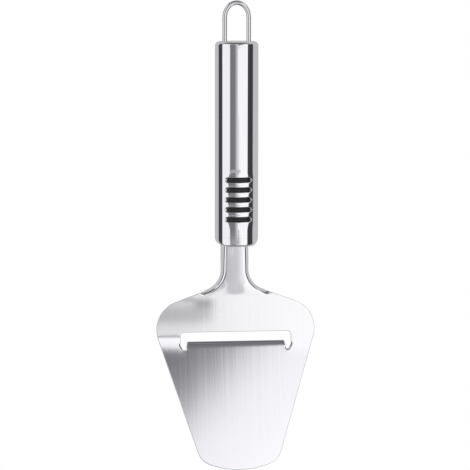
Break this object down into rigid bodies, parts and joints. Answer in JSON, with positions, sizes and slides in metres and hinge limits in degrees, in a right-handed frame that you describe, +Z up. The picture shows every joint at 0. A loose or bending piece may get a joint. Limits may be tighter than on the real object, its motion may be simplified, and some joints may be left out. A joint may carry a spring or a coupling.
{
  "type": "cheese slicer",
  "caption": "Cheese slicer with a stamped steel blade, a cross slot with a bent cutting lip, a tubular steel handle with rubber inlays, and a wire hanging loop.",
  "frame": {"origin": "middle of the bounding box at the height of the table that the slicer lies on", "axes": "+Y towards the hanging loop, +X to the right, +Z up, out of the face that shows"},
  "size_m": [0.0814, 0.237, 0.0356],
  "materials": {
    "blade_steel": "brushed along the length of the blade",
    "handle_steel": "mirror polished stainless steel",
    "wire_steel": "polished stainless steel wire",
    "inlay_rubber": "smooth satin rubber"
  },
  "bodies": {
    "root": {"blade": "blade_steel", "handle_tube": "handle_steel", "front_cap": "handle_steel", "rear_cap": "handle_steel", "hanging_loop": "wire_steel", "grip_inlay_1": "inlay_rubber", "grip_inlay_2": "inlay_rubber", "grip_inlay_3": "inlay_rubber", "grip_inlay_4": "inlay_rubber", "grip_inlay_5": "inlay_rubber"}
  },
  "joints": []
}
